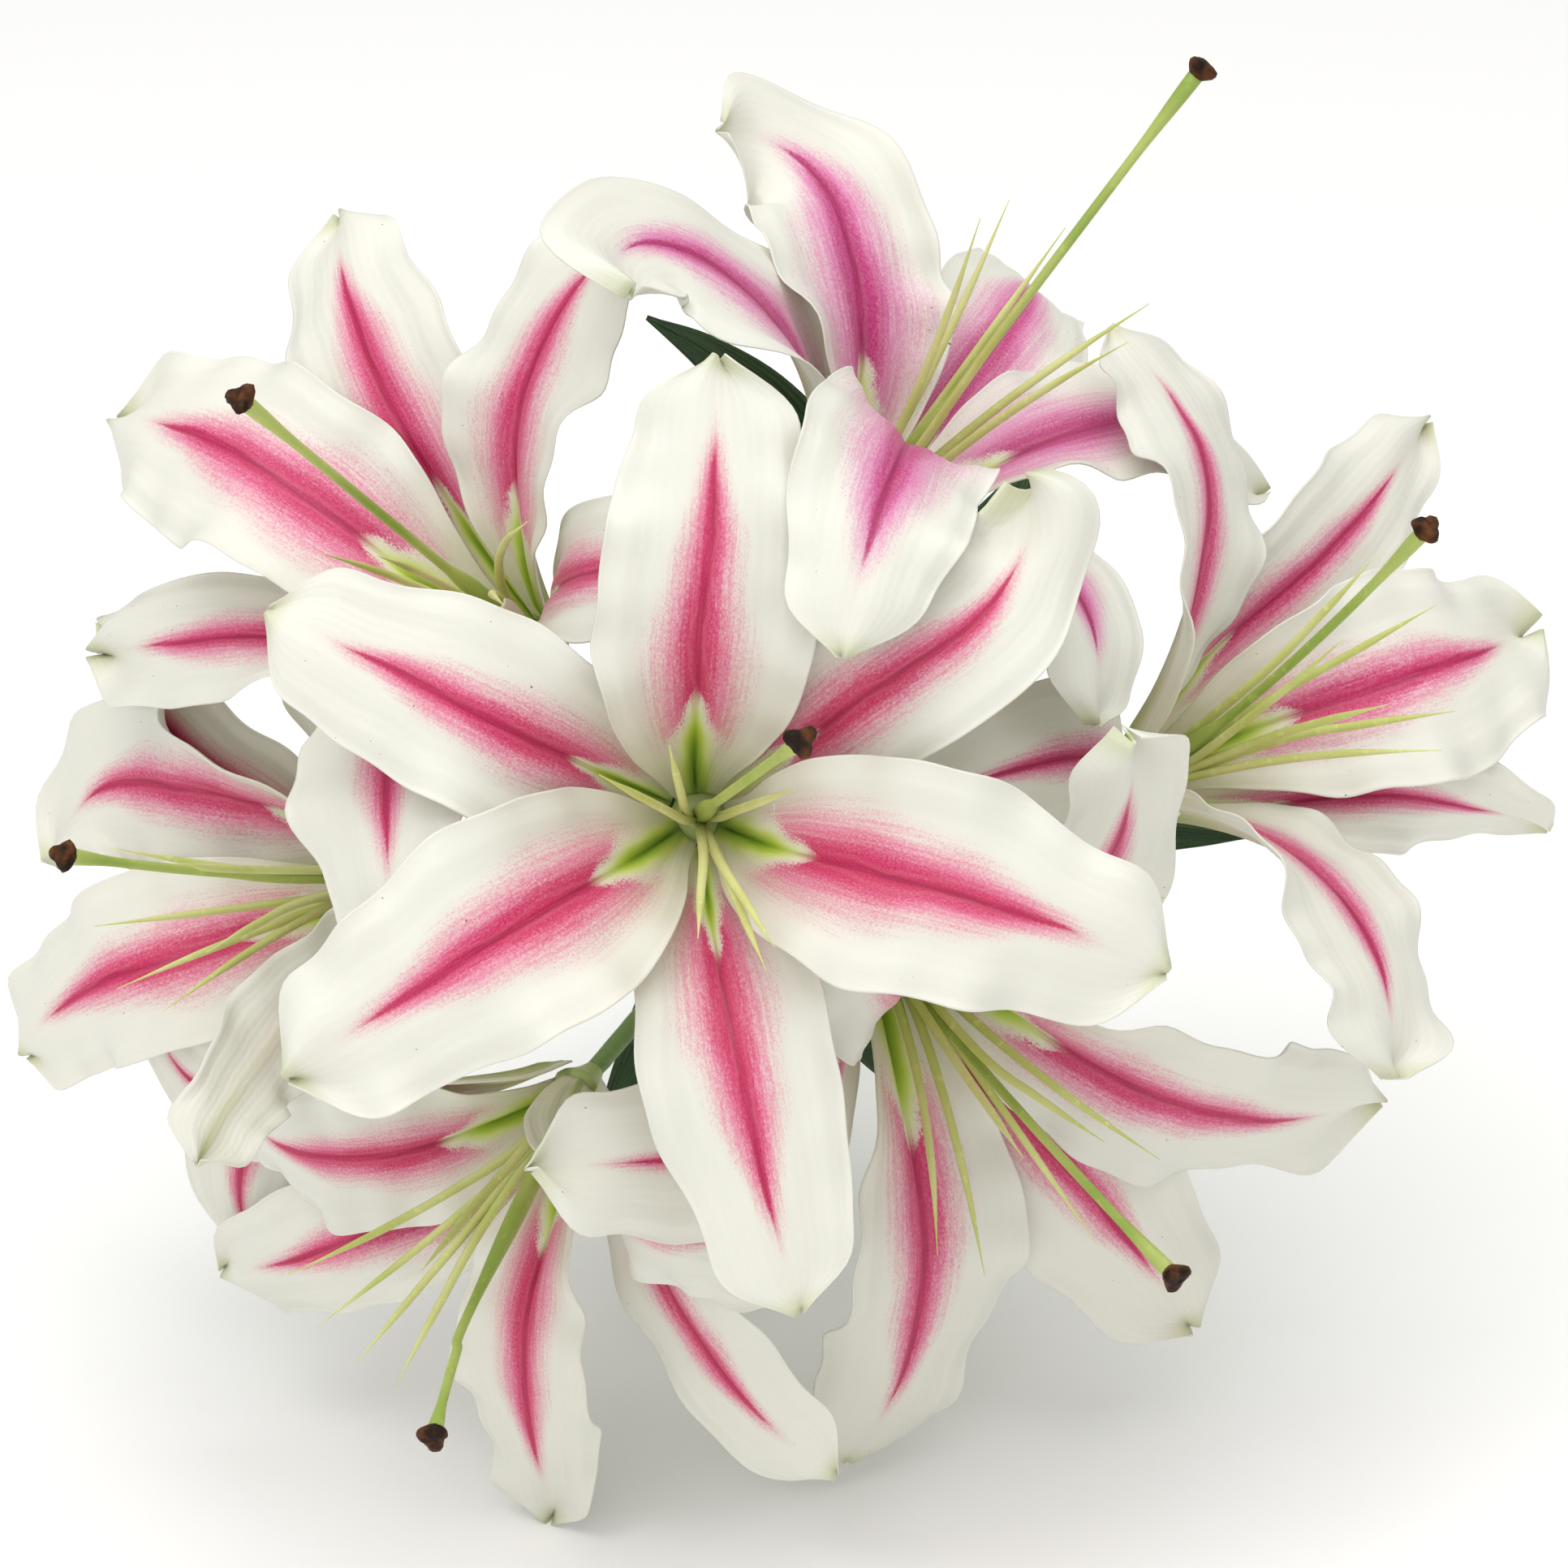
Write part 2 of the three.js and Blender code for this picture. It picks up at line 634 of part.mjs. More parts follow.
function flowerHeart(name, flower) {
  const axes = flowerAxes(flower);
  const origin = new THREE.Vector3(...flower.at);
  const below = origin.clone().addScaledVector(axes.axis, -receptacleHeight);
  const above = origin.clone().addScaledVector(axes.axis, receptacleHeight * 0.35);
  const waist = [pedicelRadius, receptacleRadius, receptacleRadius * 0.8];
  let solid = toManifold(tubeGeometry([below, origin, above], waist, 8));
  solid = solid.add(pistilSolid(origin, axes, flower.lift));
  flower.stamens.forEach((stamen, k) => {
    solid = solid.add(filamentSolid(origin, axes, stamen, k));
  });
  const mesh = new THREE.Mesh(toGeometry(solid), finish(greenColour, 0.5));
  mesh.name = `${name}_pistil_and_filaments`;
  return mesh;
}

// ---------------------------------------------------------------- stems

// Each stem starts at the stalk of its topmost flower. crown: where the first stalk joins it.
// joins: how far along the bunch's axis each of its other flower stalks branches off.
const stems = {
  left_stem: { flowers: ['centre', 'upper_left', 'left'], x: -14, crown: [-13, -4, -96], joins: [-96, -128, -160] },
  right_stem: { flowers: ['top', 'right'], x: 14, crown: [13, 8, -112], joins: [-112, -150] },
  middle_stem: { flowers: ['lower_right', 'bottom'], x: 0, crown: [2, -17, -116], joins: [-116, -152] },
};

function restingY(z, floor) {
  return (floor - z * Math.sin(radians(lean))) / Math.cos(radians(lean));
}

function stemPath({ x, crown }, floor) {
  const top = new THREE.Vector3(...crown);
  const end = new THREE.Vector3(x, restingY(cutEnd, floor) + stemRadius, cutEnd);
  const way = new THREE.Vector3(0, 0, -(crown[2] - cutEnd) / 3);
  return new THREE.CubicBezierCurve3(top, top.clone().add(way), end.clone().sub(way), end);
}

function stemMesh(name, stem, floor) {
  const curve = stemPath(stem, floor);
  const pointAt = (z) => curve.getPoint((stem.crown[2] - z) / (stem.crown[2] - cutEnd));
  const steps = 10;
  const points = Array.from({ length: steps + 1 }, (_, i) => curve.getPoint(i / steps));
  let solid = toManifold(tubeGeometry(points, points.map(() => stemRadius), 8));
  stem.flowers.forEach((flowerName, k) => {
    const flower = flowers[flowerName];
    const { axis } = flowerAxes(flower);
    const start = new THREE.Vector3(...flower.at).addScaledVector(axis, -receptacleHeight - clearance);
    const end = pointAt(stem.joins[k] - 8);
    const pull = start.distanceTo(end) * 0.45;
    const bend = new THREE.CubicBezierCurve3(
      start,
      start.clone().addScaledVector(axis, -pull),
      end.clone().add(new THREE.Vector3(0, 0, pull)),
      end,
    );
    const path = Array.from({ length: 8 }, (_, i) => bend.getPoint(i / 7));
    const radii = path.map((_, i) => pedicelRadius * (1 + 0.04 * i));
    solid = solid.add(toManifold(tubeGeometry(path, radii, 6)));
  });
  const mesh = new THREE.Mesh(toGeometry(solid), finish(stemColour, 0.6));
  mesh.name = name;
  return mesh;
}

// ---------------------------------------------------------------- leaves

// stem: the stem it grows from; down: how far along the bunch's axis; side: the way it points.
// open, sway, twist and reach: as for a tepal.
const leaves = [
  { stem: 'right_stem', down: -122, side: 94, open: [40, 48, 60], sway: [0, 20, 60], reach: 1.3, twist: 70 },
  { stem: 'left_stem', down: -130, side: 86, open: [40, 50, 60], sway: [0, 0, 0], reach: 0.95 },
  { stem: 'right_stem', down: -170, side: -8, open: [38, 48, 60], sway: [0, 0, 0], reach: 1.15 },
  { stem: 'middle_stem', down: -174, side: -124, open: [60, 65, 75], sway: [0, 0, 0], reach: 0.8 },
  { stem: 'left_stem', down: -112, side: 195, open: [38, 48, 60], sway: [0, 0, 0], reach: 0.85 },
  { stem: 'left_stem', down: -180, side: 160, open: [45, 60, 85], sway: [0, 0, 0], reach: 1 },
  { stem: 'middle_stem', down: -138, side: -60, open: [40, 50, 62], sway: [0, 0, 0], reach: 0.8 },
  { stem: 'right_stem', down: -196, side: 60, open: [45, 65, 95], sway: [0, 0, 0], reach: 1 },
];

const leafBend = [1 / 12, 1 / 30, 1 / 45, 1 / 60, 1 / 60];
const leafFootAngle = 25;

function leafWidthAt(s) {
  return leafWidth * Math.max(0.35 * (1 - s) + 0.8 * Math.sin(Math.PI * s ** 0.8) ** 0.8, 0.14);
}

function leafSheet(leaf, k, floor) {
  const stem = stems[leaf.stem];
  const curve = stemPath(stem, floor);
  const origin = curve.getPoint((stem.crown[2] - leaf.down) / (stem.crown[2] - cutEnd));
  const axes = flowerAxes({ compass: 0, tilt: 0 });
  const radial = around(axes, leaf.side);
  const standOff = stemRadius + clearance + leafThickness * 2;
  return {
    name: `leaf_${k + 1}`,
    flower: `leaf_${k + 1}`,
    layer: 0,
    held: 1,
    thickness: leafThickness,
    material: finish(leafColour, 0.5),
    rows: sheetRows({
      foot: origin.addScaledVector(radial, standOff),
      axis: axes.axis,
      radial,
      length: leafLength * leaf.reach,
      open: [leafFootAngle, ...leaf.open],
      sway: [0, ...leaf.sway],
      twist: leaf.twist ?? 0,
      widthAt: leafWidthAt,
      bendAt: (s) => smoothValue(leafBend, s),
    }),
  };
}

// ---------------------------------------------------------------- the whole bunch

// Height of a point above a surface through the bunch's origin, once the bunch lies down.
function heightOf(p) {
  return p.y * Math.cos(radians(lean)) + p.z * Math.sin(radians(lean));
}

const bunch = new THREE.Group();
bunch.rotation.x = radians(90 - lean);

const tepals = Object.entries(flowers).flatMap(([name, flower]) => flowerTepals(name, flower));
const floor = Math.min(...tepals.flatMap((sheet) => sheet.rows.flat().map(heightOf)));
const sheets = [...tepals, ...leaves.map((leaf, k) => leafSheet(leaf, k, floor))];
settle(sheets);

for (const sheet of sheets) {
  const mesh = new THREE.Mesh(shellGeometry(sheet.rows, sheet.thickness), sheet.material);
  mesh.name = sheet.name;
  bunch.add(mesh);
}
for (const [name, flower] of Object.entries(flowers)) {
  bunch.add(flowerHeart(name, flower));
}
for (const [name, stem] of Object.entries(stems)) {
  bunch.add(stemMesh(name, stem, floor));
}

const root = new THREE.Group();
root.add(bunch);
root.updateMatrixWorld(true);
const box = new THREE.Box3().setFromObject(root, true);
const centre = box.getCenter(new THREE.Vector3());
bunch.position.set(-centre.x, -centre.y, -box.min.z);
root.updateMatrixWorld(true);

export default root;
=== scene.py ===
"""A bunch of lilies lying on a pale floor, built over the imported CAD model.

Every tepal and leaf is a thin sheet in the CAD model: ten rows of five points, on two sides.
Here the middle of each sheet is read back from its node and drawn again as a fine, ruffled blade.
Lengths are in metres, in the CAD model's frame.
"""

import math

import bpy
import numpy as np
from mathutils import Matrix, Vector


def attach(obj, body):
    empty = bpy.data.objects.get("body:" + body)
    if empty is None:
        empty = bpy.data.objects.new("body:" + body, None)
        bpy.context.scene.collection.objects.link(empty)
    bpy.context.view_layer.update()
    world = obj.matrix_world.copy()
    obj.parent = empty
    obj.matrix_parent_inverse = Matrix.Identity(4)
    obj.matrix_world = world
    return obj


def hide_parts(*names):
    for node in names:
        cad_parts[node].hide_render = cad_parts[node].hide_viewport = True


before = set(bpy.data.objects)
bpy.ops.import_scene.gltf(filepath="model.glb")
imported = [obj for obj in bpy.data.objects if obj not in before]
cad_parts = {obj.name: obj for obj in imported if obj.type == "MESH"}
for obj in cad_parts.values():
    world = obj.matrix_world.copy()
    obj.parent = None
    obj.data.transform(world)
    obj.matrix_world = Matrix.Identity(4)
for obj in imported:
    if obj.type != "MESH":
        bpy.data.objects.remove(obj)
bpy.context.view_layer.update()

FLOWERS = ["centre", "upper_left", "top", "right", "lower_right", "bottom", "left"]
STEMS = ["left_stem", "right_stem", "middle_stem"]
LEAVES = [f"leaf_{k}" for k in range(1, 9)]
MM = 0.001

# What the CAD meshes are made of.
ACROSS = 5                       # points across a tepal's or a leaf's sheet
FLOWER_FOOT_SIDES = 8            # sides of the tube that a flower stands on
PISTIL_SIDES = 5
FILAMENT_SIDES = 3
STIGMA_RINGS = 3                 # a pistil's stigma: its apex and the two rings below that
FILAMENT_STEP = 10 * MM          # a filament's rings are farther apart than this

# ---------------------------------------------------------------- reading the CAD meshes


def unit(v):
    return v / np.linalg.norm(v)


def mesh_points(node):
    """A CAD node's points, each once, the points beside each one, and its faces."""
    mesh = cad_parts[node].data
    raw = np.array([v.co[:] for v in mesh.vertices])
    points, number = np.unique(np.round(raw, 6), axis=0, return_inverse=True)
    number = number.reshape(-1)
    beside = [set() for _ in points]
    faces = []
    for polygon in mesh.polygons:
        face = [int(number[i]) for i in polygon.vertices]
        faces.append(face)
        for i in face:
            beside[i].update(face)
    for i, others in enumerate(beside):
        others.discard(i)
    return points, beside, faces


def paired(points):
    """The two sides of a sheet brought together: the pair each point is in, and the pairs' middles."""
    gaps = np.linalg.norm(points[:, None] - points[None], axis=2)
    np.fill_diagonal(gaps, 1)
    thickness = np.median(gaps.min(1))
    partner = np.abs(gaps - thickness).argmin(1)
    pair = {}
    middles = []
    for i, j in enumerate(partner):
        if i not in pair:
            pair[i] = len(middles)
            pair[int(j)] = len(middles)
            middles.append((points[i] + points[j]) / 2)
    return pair, np.array(middles)


def chained(row, links):
    """The points of a row in order, from one edge of the sheet to the other."""
    here = [i for i in row if len(links[i] & set(row)) == 1][0]
    chain = [here]
    while len(chain) < len(row):
        here = [i for i in links[here] & set(row) if i not in chain][0]
        chain.append(here)
    return chain


def sheet_middle(node):
    """The middle points of a CAD sheet, and for each one the set of those beside it."""
    points, beside, _ = mesh_points(node)
    pair, middles = paired(points)
    links = [set() for _ in middles]
    for i, others in enumerate(beside):
        links[pair[i]].update(pair[j] for j in others)
    for i, others in enumerate(links):
        others.discard(i)
    return middles, links


def sheet_rows(node, root):
    """The middle of a CAD sheet as an array [row, place across, xyz], from the end nearest root."""
    middles, links = sheet_middle(node)
    nearest = np.linalg.norm(middles - root, axis=1).argsort()[:ACROSS]
    row = {int(i) for i in nearest}
    seen = set(row)
    rows = []
    while row:
        chain = chained(row, links)
        if rows:
            first, last = middles[chain[0]], middles[chain[-1]]
            before = middles[rows[-1][0]]
            if np.linalg.norm(last - before) < np.linalg.norm(first - before):
                chain.reverse()
        rows.append(chain)
        row = set().union(*(links[i] for i in chain)) - seen
        seen |= row
    return middles[np.array(rows)]


def facing(rows, target):
    """The rows turned round, if need be, so that the cross product of along and across faces target."""
    i = len(rows) // 2
    k = ACROSS // 2
    along = rows[i + 1, k] - rows[i - 1, k]
    across = rows[i, k + 1] - rows[i, k - 1]
    return rows if np.cross(along, across) @ (target - rows[i, k]) > 0 else rows[:, ::-1]


def walk_rings(beside, apex, size):
    """The rings of a tube, from its apex until the tube joins something else."""
    rings = [{apex}]
    seen = {apex}
    while True:
        ring = set().union(*(beside[i] for i in rings[-1])) - seen
        if len(ring) != size:
            return [list(r) for r in rings]
        rings.append(ring)
        seen |= ring


# ---------------------------------------------------------------- curves and meshes


def catmull(values, places):
    """Values at equal steps from 0 to 1, smoothly read at places. The first axis is the steps."""
    last = len(values) - 1
    ends = [2 * values[0] - values[1], *values, 2 * values[-1] - values[-2]]
    padded = np.array(ends)
    at = np.clip(np.asarray(places, float) * last, 0, last - 1e-9)
    i = at.astype(int)
    f = (at - i).reshape((-1,) + (1,) * (padded.ndim - 1))
    p0, p1, p2, p3 = (padded[i + k] for k in range(4))
    return 0.5 * (
        2 * p1
        + (p2 - p0) * f
        + (2 * p0 - 5 * p1 + 4 * p2 - p3) * f**2
        + (3 * p1 - p0 - 3 * p2 + p3) * f**3
    )


def refined(rows, along, across):
    """A sheet's middle read at finer places along it and across it."""
    fine = catmull(rows, along)
    return catmull(fine.transpose(1, 0, 2), (across + 1) / 2).transpose(1, 0, 2)


def normals_of(grid):
    along = np.gradient(grid, axis=0)
    across = np.gradient(grid, axis=1)
    n = np.cross(along, across)
    return n / np.maximum(np.linalg.norm(n, axis=2, keepdims=True), 1e-12)


def smoothstep(low, high, x):
    f = np.clip((x - low) / (high - low), 0, 1)
    return f * f * (3 - 2 * f)


def make_object(name, points, faces, materials, face_material=None, maps=None, values=None):
    """A smooth mesh object. maps: each point's u and v. values: a number for each attribute's name."""
    mesh = bpy.data.meshes.new(name)
    mesh.from_pydata([tuple(p) for p in points], [], [tuple(f) for f in faces])
    mesh.polygons.foreach_set("use_smooth", [True] * len(mesh.polygons))
    for material in materials:
        mesh.materials.append(material)
    if face_material is not None:
        mesh.polygons.foreach_set("material_index", face_material)
    if maps is not None:
        layer = mesh.uv_layers.new(name="blade")
        corners = np.empty(len(mesh.loops), int)
        mesh.loops.foreach_get("vertex_index", corners)
        layer.data.foreach_set("uv", maps[corners].astype(np.float32).ravel())
    for key, value in (values or {}).items():
        attribute = mesh.attributes.new(key, "FLOAT", "POINT")
        attribute.data.foreach_set("value", np.full(len(mesh.vertices), value, np.float32))
    mesh.update()
    made = bpy.data.objects.new(name, mesh)
    bpy.context.scene.collection.objects.link(made)
    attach(made, "root")
    return made


def blade_mesh(grid, thickness, along, across):
    """A closed blade round a grid of middle points: its points, faces, faces' materials and map.

    The upper side has the first material; the lower side and the rim have the second.
    """
    normals = normals_of(grid)
    rows, columns = grid.shape[:2]
    half = thickness[..., None] / 2
    points = np.concatenate([
        (grid + normals * half).reshape(-1, 3),
        (grid - normals * half).reshape(-1, 3),
    ])
    side = rows * columns
    faces = []
    kinds = []
    for i in range(rows - 1):
        for k in range(columns - 1):
            a = i * columns + k
            faces.append((a, a + columns, a + columns + 1, a + 1))
            kinds.append(0)
            faces.append((side + a, side + a + 1, side + a + columns + 1, side + a + columns))
            kinds.append(1)
    rim = [(i, 0) for i in range(rows)]
    rim += [(rows - 1, k) for k in range(1, columns)]
    rim += [(i, columns - 1) for i in range(rows - 2, -1, -1)]
    rim += [(0, k) for k in range(columns - 2, 0, -1)]
    for n, (i, k) in enumerate(rim):
        j, m = rim[(n + 1) % len(rim)]
        a = i * columns + k
        b = j * columns + m
        faces.append((a, side + a, side + b, b))
        kinds.append(1)
    u = 0.5 + 0.5 * np.tile(across, (rows, 1))
    v = np.tile(along[:, None], (1, columns))
    map_points = np.stack([u, v], axis=2).reshape(-1, 2)
    return points, faces, kinds, np.concatenate([map_points, map_points])


def tube_faces(rings, sides):
    """The faces of a tube of rings with a flat face at each end."""
    faces = []
    for i in range(rings - 1):
        for k in range(sides):
            a = i * sides + k
            b = i * sides + (k + 1) % sides
            faces.append((a, b, b + sides, a + sides))
    faces.append(tuple(range(sides - 1, -1, -1)))
    last = (rings - 1) * sides
    faces.append(tuple(range(last, last + sides)))
    return faces


def tube_mesh(path, radii, sides, lobes=None):
    """A closed tube along path. lobes: how much its outline swells in three places, at each point."""
    lobes = np.zeros(len(path)) if lobes is None else lobes
    points = []
    side = None
    for i, p in enumerate(path):
        along = unit(path[min(i + 1, len(path) - 1)] - path[max(i - 1, 0)])
        if side is None:
            side = np.array([along[1], along[2], along[0]])
        side = unit(side - along * (side @ along))
        other = np.cross(along, side)
        for k in range(sides):
            angle = 2 * math.pi * k / sides
            radius = radii[i] * (1 + lobes[i] * math.cos(3 * angle))
            points.append(p + radius * (math.cos(angle) * side + math.sin(angle) * other))
    return points, tube_faces(len(path), sides)


# ---------------------------------------------------------------- node helpers


class Paint:
    """Builds one material's nodes. Numbers and sockets can be mixed freely."""

    def __init__(self, name):
        self.material = bpy.data.materials.new(name)
        self.material.use_nodes = True
        self.tree = self.material.node_tree
        self.tree.nodes.clear()
        self.shader = self.tree.nodes.new("ShaderNodeBsdfPrincipled")
        output = self.tree.nodes.new("ShaderNodeOutputMaterial")
        self.tree.links.new(self.shader.outputs["BSDF"], output.inputs["Surface"])

    def put(self, socket, value):
        """Gives a socket what another socket puts out, or a plain number or colour."""
        if isinstance(value, bpy.types.NodeSocket):
            self.tree.links.new(value, socket)
        elif isinstance(value, tuple) and len(value) == 3 and socket.type == "RGBA":
            socket.default_value = (*value, 1)
        else:
            socket.default_value = value

    def math(self, operation, *values):
        node = self.tree.nodes.new("ShaderNodeMath")
        node.operation = operation
        for socket, value in zip(node.inputs, values):
            self.put(socket, value)
        return node.outputs[0]

    def add(self, a, b):
        return self.math("ADD", a, b)

    def sub(self, a, b):
        return self.math("SUBTRACT", a, b)

    def times(self, a, b):
        return self.math("MULTIPLY", a, b)

    def ramp(self, value, low, high, start=0.0, end=1.0):
        """A smooth step from start to end while value goes from low to high."""
        node = self.tree.nodes.new("ShaderNodeMapRange")
        node.interpolation_type = "SMOOTHSTEP"
        self.put(node.inputs["Value"], value)
        self.put(node.inputs["From Min"], low)
        self.put(node.inputs["From Max"], high)
        self.put(node.inputs["To Min"], start)
        self.put(node.inputs["To Max"], end)
        return node.outputs[0]

    def curve(self, value, stops):
        """A smooth curve through (place, height) stops."""
        node = self.tree.nodes.new("ShaderNodeValToRGB")
        node.color_ramp.interpolation = "EASE"
        elements = node.color_ramp.elements
        elements[0].position, elements[1].position = stops[0][0], stops[-1][0]
        for place, _ in stops[1:-1]:
            elements.new(place)
        for element, (_, height) in zip(elements, stops):
            element.color = (height, height, height, 1)
        self.put(node.inputs[0], value)
        return node.outputs[0]

    def mix(self, share, a, b):
        """Colour a, with a share of colour b."""
        node = self.tree.nodes.new("ShaderNodeMix")
        node.data_type = "RGBA"
        self.put(node.inputs[0], share)
        self.put(node.inputs[6], a)
        self.put(node.inputs[7], b)
        return node.outputs[2]

    def place(self, x, y, z):
        node = self.tree.nodes.new("ShaderNodeCombineXYZ")
        for socket, value in zip(node.inputs, (x, y, z)):
            self.put(socket, value)
        return node.outputs[0]

    def noise(self, place, scale, detail, roughness=0.5):
        node = self.tree.nodes.new("ShaderNodeTexNoise")
        self.put(node.inputs["Vector"], place)
        self.put(node.inputs["Scale"], scale)
        self.put(node.inputs["Detail"], detail)
        self.put(node.inputs["Roughness"], roughness)
        return node.outputs["Fac"]

    def attribute(self, name):
        node = self.tree.nodes.new("ShaderNodeAttribute")
        node.attribute_name = name
        return node.outputs["Fac"]

    def blade_map(self):
        """Place across a blade from -1 to 1, and along it from 0 to 1."""
        node = self.tree.nodes.new("ShaderNodeUVMap")
        node.uv_map = "blade"
        split = self.tree.nodes.new("ShaderNodeSeparateXYZ")
        self.tree.links.new(node.outputs[0], split.inputs[0])
        return self.sub(self.times(split.outputs[0], 2.0), 1.0), split.outputs[1]

    def object_place(self):
        return self.tree.nodes.new("ShaderNodeTexCoord").outputs["Object"]

    def finish(self, colour, roughness, bump=None, strength=0.3, distance=0.0005, **sockets):
        """The finished material. bump: a height. sockets: more values, by the shader's own names."""
        self.put(self.shader.inputs["Base Color"], colour)
        self.put(self.shader.inputs["Roughness"], roughness)
        if bump is not None:
            node = self.tree.nodes.new("ShaderNodeBump")
            self.put(node.inputs["Strength"], strength)
            self.put(node.inputs["Distance"], distance)
            self.put(node.inputs["Height"], bump)
            self.tree.links.new(node.outputs[0], self.shader.inputs["Normal"])
        for key, value in sockets.items():
            self.put(self.shader.inputs[key.replace("_", " ")], value)
        return self.material


# ---------------------------------------------------------------- materials

WHITE = (0.72, 0.71, 0.635)
CREAM = (0.74, 0.69, 0.42)
PINK = (0.66, 0.10, 0.25)
CRIMSON = (0.50, 0.006, 0.08)
DARK_CRIMSON = (0.16, 0.0, 0.02)
LILAC = (0.62, 0.17, 0.42)
MAGENTA = (0.37, 0.005, 0.14)
LIME = (0.56, 0.70, 0.06)
DEEP_LIME = (0.15, 0.30, 0.008)
TIP_GREEN = (0.36, 0.42, 0.08)
FACE_VEIN = (0.62, 0.62, 0.45)
BACK_VEIN = (0.55, 0.6, 0.36)
BACK_FLUSH = (0.75, 0.35, 0.42)
POLLEN = (0.22, 0.09, 0.03)
LEAF_VEIN = (0.05, 0.12, 0.035)
LEAF_MIDRIB = (0.07, 0.16, 0.04)

# Two close colours that each of these goes between, in patches.
LEAF_GREENS = [(0.012, 0.040, 0.014), (0.028, 0.075, 0.022)]
STEM_GREENS = [(0.10, 0.20, 0.04), (0.19, 0.30, 0.09)]
RECEPTACLE_GREENS = [(0.30, 0.40, 0.12), (0.45, 0.52, 0.2)]
STYLE_GREENS = [(0.27, 0.38, 0.06), (0.42, 0.50, 0.13)]
FILAMENT_GREENS = [(0.50, 0.54, 0.15), (0.64, 0.66, 0.28)]
# The stigma's own dark brown, from near-black painted shade in the gaps between grains to orange-brown
# painted highlights.
STIGMA_BROWN_SHADE_AND_HIGHLIGHT = [(0.012, 0.004, 0.001), (0.12, 0.040, 0.010)]

TEPAL_FLESH = {
    "Subsurface_Weight": 0.18,
    "Subsurface_Radius": (0.006, 0.004, 0.003),
    "Subsurface_Scale": 0.5,
    "Sheen_Weight": 0.08,
    "Specular_IOR_Level": 0.35,
}
LEAST_WIDTH = 0.001              # added to a mark's width, so that nothing is divided by zero


def blade_noise(paint, blade, wide, long, scale=1.0, detail=2.0, roughness=0.5):
    """A noise over a blade, made finer across it by wide and along it by long."""
    across, along, seed = blade
    place = paint.place(paint.times(across, wide), paint.times(along, long), seed)
    return paint.noise(place, scale, detail, roughness)


def vein_lines(paint, blade):
    """Fine veins that run along a blade, with a slow waver."""
    waver = blade_noise(paint, blade, 1.0, 5.0, 1.5)
    return paint.math("SINE", paint.add(paint.times(blade[0], 46.0), paint.times(waver, 9.0)))


def tepal_bump(paint, blade):
    """Veins along the tepal and a faint crepe between them."""
    crepe = blade_noise(paint, blade, 16.0, 90.0, 1.0, 3.0)
    return paint.add(paint.times(vein_lines(paint, blade), 0.22), paint.times(crepe, 0.6))


def furrow_places(paint, aside, along, stipple):
    """How far a place is from the midrib, in furrow widths, and how much it is outside the furrow."""
    width = paint.curve(along, [(0.0, 0.7), (0.1, 0.5), (0.2, 0.27), (0.3, 0.1), (0.37, 0.0)])
    width = paint.add(paint.times(width, paint.attribute("furrow")), LEAST_WIDTH)
    away = paint.math("DIVIDE", aside, width)
    outside = paint.ramp(paint.add(away, paint.times(paint.sub(stipple, 0.5), 2.4)), 0.9, 2.6)
    return away, paint.math("MAXIMUM", outside, paint.ramp(along, 0.3, 0.38))


def flush_share(paint, aside, along, grain, outside):
    """The stippled flush round the midrib, which starts as two lobes beside the green furrow."""
    stops = [(0.1, 0.5), (0.25, 0.8), (0.42, 0.72), (0.6, 0.5), (0.8, 0.24), (0.95, 0.02)]
    width = paint.times(paint.curve(along, stops), paint.attribute("band"))
    width = paint.times(width, paint.add(paint.times(paint.attribute("lilac"), 0.25), 1.0))
    width = paint.add(width, LEAST_WIDTH)
    halo = paint.math("MAXIMUM", paint.sub(1.0, paint.math("DIVIDE", aside, width)), 0.0)
    halo = paint.times(paint.times(halo, outside), paint.ramp(along, 0.72, 0.95, 1.0, 0.0))
    dots = paint.add(paint.times(halo, 1.2), paint.times(grain, paint.ramp(halo, 0.0, 0.16)))
    dots = paint.ramp(dots, 0.14, 0.96)
    flush = paint.add(paint.times(dots, 0.68), paint.times(paint.math("POWER", halo, 1.2), 0.32))
    return paint.math("MINIMUM", flush, 0.95)


def band_share(paint, aside, along, grain, outside):
    """The dense band along the midrib."""
    width = paint.curve(along, [(0.16, 0.02), (0.32, 0.2), (0.46, 0.22), (0.62, 0.13), (0.88, 0.0)])
    width = paint.add(paint.times(paint.attribute("band"), width), LEAST_WIDTH)
    inside = paint.sub(1.0, paint.math("DIVIDE", aside, width))
    share = paint.times(paint.ramp(paint.add(inside, paint.times(grain, 0.9)), -0.4, 0.75), outside)
    return paint.times(share, paint.ramp(width, 0.002, 0.03))


def midrib_share(paint, aside, along, streak):
    """The dark line in the middle of the band."""
    share = paint.curve(along, [(0.22, 0.0), (0.34, 0.55), (0.7, 0.6), (0.88, 0.0)])
    share = paint.times(paint.ramp(aside, 0.01, 0.06, 1.0, 0.0), share)
    return paint.times(share, paint.ramp(streak, 0.35, 0.65, 0.5, 1.4))


def furrow_share(paint, away, along, near, far, start, end):
    """A part of the furrow that fades out across from near to far, and along from start to end."""
    return paint.times(paint.ramp(away, near, far, 1.0, 0.0), paint.ramp(along, start, end, 1.0, 0.0))


def pollen_share(paint, blade):
    """A few grains of pollen, in loose patches."""
    grains = blade_noise(paint, blade, 21.0, 118.0, 0.9, 1.0)
    patch = blade_noise(paint, blade, 1.0, 4.0, 1.0, 1.0)
    return paint.times(paint.ramp(grains, 0.79, 0.82), paint.ramp(patch, 0.5, 0.62))


